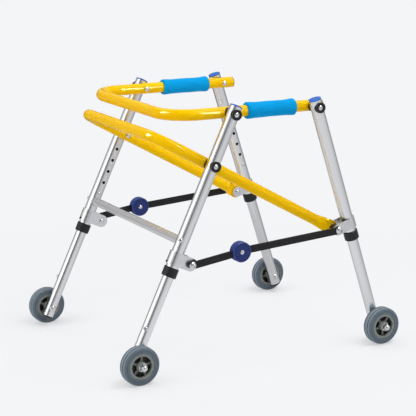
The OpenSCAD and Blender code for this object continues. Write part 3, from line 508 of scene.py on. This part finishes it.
rough = add(tree, "ShaderNodeMapRange", {"Value": dust, "To Min": 0.55, "To Max": 0.78}).outputs["Result"]
dent = add(tree, "ShaderNodeBump", {"Height": mould_line_and_shade, "Strength": 0.4, "Distance": 0.0006},
           invert=True).outputs["Normal"]
tree.links.new(tone, shader.inputs["Base Color"])
tree.links.new(rough, shader.inputs["Roughness"])
tree.links.new(dent, shader.inputs["Normal"])
for side in SIDES:
    for end in LEGS:
        dress(rubber, f"tyre_{end}_{side}")

# Hubs: grey-green moulded nylon with five spokes, pressed into the tyres, running on the axle bolts.
# The deep pockets between the spokes are painted dark near the middle plane, as the shade that falls in them.
POCKET_SHADE_FADE = (0.0022, 0.0066)
hub_nylon, tree, shader, where = surface("grey moulded nylon", Roughness=0.42, Specular_IOR_Level=0.3)
across = add(tree, "ShaderNodeSeparateXYZ", {"Vector": where}).outputs["Y"]
from_middle = distance(tree, distance(tree, across), WHEEL_PLANE)
# Painted shade: dark at the middle plane, the hub's own grey from 6.6 mm out.
clear_of_pocket_shade = add(tree, "ShaderNodeMapRange",
            {"Value": from_middle, "From Min": POCKET_SHADE_FADE[0], "From Max": POCKET_SHADE_FADE[1]}).outputs["Result"]
mottle = add(tree, "ShaderNodeTexNoise", {"Vector": where, "Scale": 1 / 0.005, "Detail": 3.0}).outputs["Fac"]
tone = add(tree, "ShaderNodeMixRGB",
           {"Fac": mottle, "Color1": linear("#7C8079"), "Color2": linear("#8F938C")}).outputs["Color"]
tone = add(tree, "ShaderNodeMixRGB",
           {"Fac": clear_of_pocket_shade, "Color1": linear("#1B201F"), "Color2": tone}).outputs["Color"]
grain = add(tree, "ShaderNodeBump",
            {"Height": mottle, "Strength": 0.08, "Distance": 0.0003}).outputs["Normal"]
tree.links.new(tone, shader.inputs["Base Color"])
tree.links.new(grain, shader.inputs["Normal"])
for side in SIDES:
    for end in LEGS:
        dress(hub_nylon, f"hub_{end}_{side}")

# Studio floor: a broad sheet of pale paper that keeps the soft shadows under the walker.
# It glows in the background's plain tone, by half beside the wheels and fully far out, so no horizon shows.
# Gloss sees the room's tones in it instead, lighter close by than further out.
FLOOR_REACH = 20.0
# Pairs of distances over which a share changes: from a wheel's foot for its shadow, else from the middle.
WHEEL_SHADOW = (0.02, 0.10)
FADE_OUT = (0.45, 1.1)
ROOM_FROM = (0.75, 1.2)
GLOW_BY_WHEEL = (0.5, 0.82)
PALE = linear("#F4F5F7")
VIEW_AZIMUTH = math.radians(-28.138)
TO_CAMERA = (math.sin(VIEW_AZIMUTH), -math.cos(VIEW_AZIMUTH), 0.0)
TO_LEFT = (-math.cos(VIEW_AZIMUTH), -math.sin(VIEW_AZIMUTH), 0.0)
GREY_RIGHT = ((-180, "#5A5A5C"), (-150, "#7E7E80"), (-125, "#A8A8AA"), (-95, "#BCBCBE"), (-70, "#D2D2D4"),
              (-45, "#DCDCDE"))
DIM_BACK = ((125, "#BAB8B5"), (132, "#6E6962"), (180, "#57524B"))


def mirrored_room(tree, way, stops):
    """Colour that gloss mirrors along a way out of the walker, by its bearing: the angle in degrees from the
    way to the camera, positive to the left. The stops pair bearings, from -180 to 180, with tones."""
    ahead = add(tree, "ShaderNodeVectorMath", {0: way, 1: TO_CAMERA},
                operation="DOT_PRODUCT").outputs["Value"]
    aside = add(tree, "ShaderNodeVectorMath", {0: way, 1: TO_LEFT},
                operation="DOT_PRODUCT").outputs["Value"]
    bearing = add(tree, "ShaderNodeMath", {0: aside, 1: ahead}, operation="ARCTAN2").outputs[0]
    share = add(tree, "ShaderNodeMapRange",
                {"Value": bearing, "From Min": -math.pi, "From Max": math.pi}).outputs["Result"]
    ramp = add(tree, "ShaderNodeValToRGB", {"Fac": share})
    for degrees, tone in stops[1:-1]:
        ramp.color_ramp.elements.new((degrees + 180) / 360).color = linear(tone)
    ramp.color_ramp.elements[0].color = linear(stops[0][1])
    ramp.color_ramp.elements[-1].color = linear(stops[-1][1])
    return ramp.outputs["Color"]


floor_mesh = bpy.data.meshes.new("studio_floor")
floor_mesh.from_pydata([(-FLOOR_REACH, -FLOOR_REACH, 0), (FLOOR_REACH, -FLOOR_REACH, 0),
                        (FLOOR_REACH, FLOOR_REACH, 0), (-FLOOR_REACH, FLOOR_REACH, 0)], [], [(0, 1, 2, 3)])
floor = bpy.data.objects.new("studio_floor", floor_mesh)
bpy.context.scene.collection.objects.link(floor)
paper, tree, shader, where = surface("pale studio paper", Roughness=0.9, Specular_IOR_Level=0.1)
speck = add(tree, "ShaderNodeTexNoise", {"Vector": where, "Scale": 1 / 0.05, "Detail": 2.0}).outputs["Fac"]
tone = add(tree, "ShaderNodeMixRGB",
           {"Fac": speck, "Color1": linear("#E6E7E9"), "Color2": linear("#E8E9EB")}).outputs["Color"]
tree.links.new(tone, shader.inputs["Base Color"])
far = add(tree, "ShaderNodeVectorMath", {0: where}, operation="LENGTH").outputs["Value"]
split = add(tree, "ShaderNodeSeparateXYZ", {"Vector": where}).outputs
to_wheel = diagonal(tree, distance(tree, distance(tree, split["X"]), HALF_WHEELBASE),
                    distance(tree, distance(tree, split["Y"]), WHEEL_PLANE))
by_wheel = add(tree, "ShaderNodeMapRange",
               {"Value": to_wheel, "From Min": WHEEL_SHADOW[0], "From Max": WHEEL_SHADOW[1],
                "To Min": GLOW_BY_WHEEL[0], "To Max": GLOW_BY_WHEEL[1]}).outputs["Result"]
fade = add(tree, "ShaderNodeMapRange",
           {"Value": far, "From Min": FADE_OUT[0], "From Max": FADE_OUT[1], "To Min": by_wheel,
            "To Max": 1.0}).outputs["Result"]
near_tone = mirrored_room(tree, where, (
    (-180, "#C4C4C6"), (-110, "#C6C6C8"), (-75, "#D0D0D2"), (-45, "#E2E2E5"), (60, "#E2E2E5"),
    (120, "#CDCDD0"), (180, "#C4C4C6")))
far_tone = mirrored_room(tree, where, (*GREY_RIGHT, (30, "#DCDCDE"), (100, "#D0D0D0"), *DIM_BACK))
room = add(tree, "ShaderNodeMapRange",
           {"Value": far, "From Min": ROOM_FROM[0], "From Max": ROOM_FROM[1]}).outputs["Result"]
mirrored = add(tree, "ShaderNodeMixRGB",
               {"Fac": room, "Color1": near_tone, "Color2": far_tone}).outputs["Color"]
path = add(tree, "ShaderNodeLightPath").outputs
colour = add(tree, "ShaderNodeMixRGB",
             {"Fac": path["Is Glossy Ray"], "Color1": PALE, "Color2": mirrored}).outputs["Color"]
seen = add(tree, "ShaderNodeMath", {0: path["Is Camera Ray"], 1: fade}, operation="MULTIPLY").outputs[0]
for ray in ("Is Glossy Ray", "Is Transmission Ray"):
    seen = add(tree, "ShaderNodeMath", {0: seen, 1: path[ray]}, operation="MAXIMUM").outputs[0]
glow = add(tree, "ShaderNodeEmission", {"Color": colour, "Strength": 1.0}).outputs["Emission"]
blend = add(tree, "ShaderNodeMixShader", {0: seen, 1: shader.outputs["BSDF"], 2: glow}).outputs["Shader"]
tree.links.new(blend, tree.nodes["Material Output"].inputs["Surface"])
floor_mesh.materials.append(paper)

# Studio walls and ceiling: plain pale for the camera, with an even soft light on everything.
# Gloss sees a room: grey on the right, a dark gap beside the camera, a white wall on the left.
# The ceiling is grey behind the walker and darker elsewhere, so that gloss shows the lamps and little else.
AMBIENT = 0.5
# Where each begins and is full, along a way one unit long: behind by its part towards the camera, the others
# by its part upwards.
BEHIND = (-0.4, -0.55)
WALL_TOP = (0.15, 0.22)
CEILING = (0.25, 0.6)
world = bpy.data.worlds.new("studio")
bpy.context.scene.world = world
world.use_nodes = True
tree = world.node_tree
way = add(tree, "ShaderNodeTexCoord").outputs["Generated"]
tone = mirrored_room(tree, way, (
    *GREY_RIGHT, (-25, "#CACACC"), (-2, "#B2B3B5"), (4, "#5C5E60"), (26, "#5C5E60"), (32, "#FFFFFF"),
    (103, "#FFFFFF"), (112, "#C8C7C6"), *DIM_BACK))
ahead = add(tree, "ShaderNodeVectorMath", {0: way, 1: TO_CAMERA}, operation="DOT_PRODUCT").outputs["Value"]
height = add(tree, "ShaderNodeSeparateXYZ", {"Vector": way}).outputs["Z"]
behind = add(tree, "ShaderNodeMapRange",
             {"Value": ahead, "From Min": BEHIND[0], "From Max": BEHIND[1]}).outputs["Result"]
raised = add(tree, "ShaderNodeMapRange",
             {"Value": height, "From Min": WALL_TOP[0], "From Max": WALL_TOP[1]}).outputs["Result"]
grey = add(tree, "ShaderNodeMath", {0: raised, 1: behind}, operation="MULTIPLY").outputs[0]
overhead = add(tree, "ShaderNodeMapRange",
               {"Value": height, "From Min": CEILING[0], "From Max": CEILING[1]}).outputs["Result"]
dark = add(tree, "ShaderNodeMath", {0: overhead, 1: grey}, operation="SUBTRACT", use_clamp=True).outputs[0]
for share, paint in ((grey, "#BCBCBE"), (dark, "#8A8A8C")):
    tone = add(tree, "ShaderNodeMixRGB",
               {"Fac": share, "Color1": tone, "Color2": linear(paint)}).outputs["Color"]
path = add(tree, "ShaderNodeLightPath").outputs
colour = add(tree, "ShaderNodeMixRGB",
             {"Fac": path["Is Glossy Ray"], "Color1": PALE, "Color2": tone}).outputs["Color"]
seen = path["Is Camera Ray"]
for ray in ("Is Glossy Ray", "Is Transmission Ray"):
    seen = add(tree, "ShaderNodeMath", {0: seen, 1: path[ray]}, operation="MAXIMUM").outputs[0]
ambient = add(tree, "ShaderNodeBackground",
              {"Color": linear("#FCFDFF"), "Strength": AMBIENT}).outputs["Background"]
backdrop = add(tree, "ShaderNodeBackground", {"Color": colour, "Strength": 1.0}).outputs["Background"]
blend = add(tree, "ShaderNodeMixShader", {0: seen, 1: ambient, 2: backdrop}).outputs["Shader"]
tree.links.new(blend, tree.nodes["World Output"].inputs["Surface"])

# Lamps: five soft boxes light the walker, all aimed at its middle. The large one on the left isn't mirrored,
# because it would whiten the legs: they mirror a weaker one that stands 0.1 m nearer.
# Two strips shine on the rails alone, whose gloss shows them as short streaks on each bend and arm.
MIDDLE = (0, 0, 0.3)
rails = bpy.data.collections.new("rails")
for name in ("upper_rail", "lower_rail"):
    rails.objects.link(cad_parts[name])
for name, place, aim, wide, tall, watts, lights, shines in (
        ("soft_box_above", (0.6, -0.7, 2.2), MIDDLE, 2.2, 0.45, 27.0, True, True),
        ("soft_box_left", (-2.1, 0.1, 1.5), MIDDLE, 1.8, 2.0, 13.5, True, False),
        ("white_wall_left", (-2.0, 0.1, 1.4), MIDDLE, 1.2, 1.6, 7.0, True, True),
        ("soft_box_right", (1.7, -1.6, 1.3), MIDDLE, 0.8, 1.6, 6.5, True, True),
        ("soft_box_behind", (0.3, 1.2, 2.2), MIDDLE, 1.6, 0.4, 8.0, True, True),
        ("strip_left", (-1.94, 0.23, 1.75), (-0.2, -0.15, 0.48), 0.58, 1.5, 235.0, False, True),
        ("strip_right", (0.90, -1.92, 1.39), (-0.1, -0.19, 0.5), 0.18, 1.4, 85.0, False, True)):
    lamp = bpy.data.lights.new(name, "AREA")
    lamp.shape = "RECTANGLE"
    lamp.size, lamp.size_y, lamp.energy = wide, tall, watts
    light = bpy.data.objects.new(name, lamp)
    light.location = place
    light.rotation_euler = (Vector(aim) - Vector(place)).to_track_quat("-Z", "Y").to_euler()
    light.visible_diffuse, light.visible_glossy = lights, shines
    if not lights:
        light.light_linking.receiver_collection = rails
    bpy.context.scene.collection.objects.link(light)

# Camera: low on the walker's right and a little behind it, worked out from the photograph's wheels, legs and
# rails. The focal length is in pixels of the square photograph, whose width the sensor stands for.
VIEW_ELEVATION = math.radians(12.72)
VIEW_DISTANCE = 3.1207
VIEW_TARGET = Vector((-0.0052, 0.0, 0.2672))
FOCAL_PIXELS = 1516.946
PHOTO_PIXELS = 416
SENSOR_MM = 36.0
back = Vector(TO_CAMERA) * math.cos(VIEW_ELEVATION) + Vector((0.0, 0.0, math.sin(VIEW_ELEVATION)))
right = -Vector(TO_LEFT)
upward = back.cross(right)
lens = bpy.data.cameras.new("camera")
lens.sensor_width = SENSOR_MM
lens.lens = FOCAL_PIXELS * SENSOR_MM / PHOTO_PIXELS
camera = bpy.data.objects.new("camera", lens)
turned = Matrix((right, upward, back)).transposed()
camera.matrix_world = Matrix.Translation(VIEW_TARGET + back * VIEW_DISTANCE) @ turned.to_4x4()
bpy.context.scene.collection.objects.link(camera)
bpy.context.scene.camera = camera
bpy.context.scene.view_settings.view_transform = "Standard"
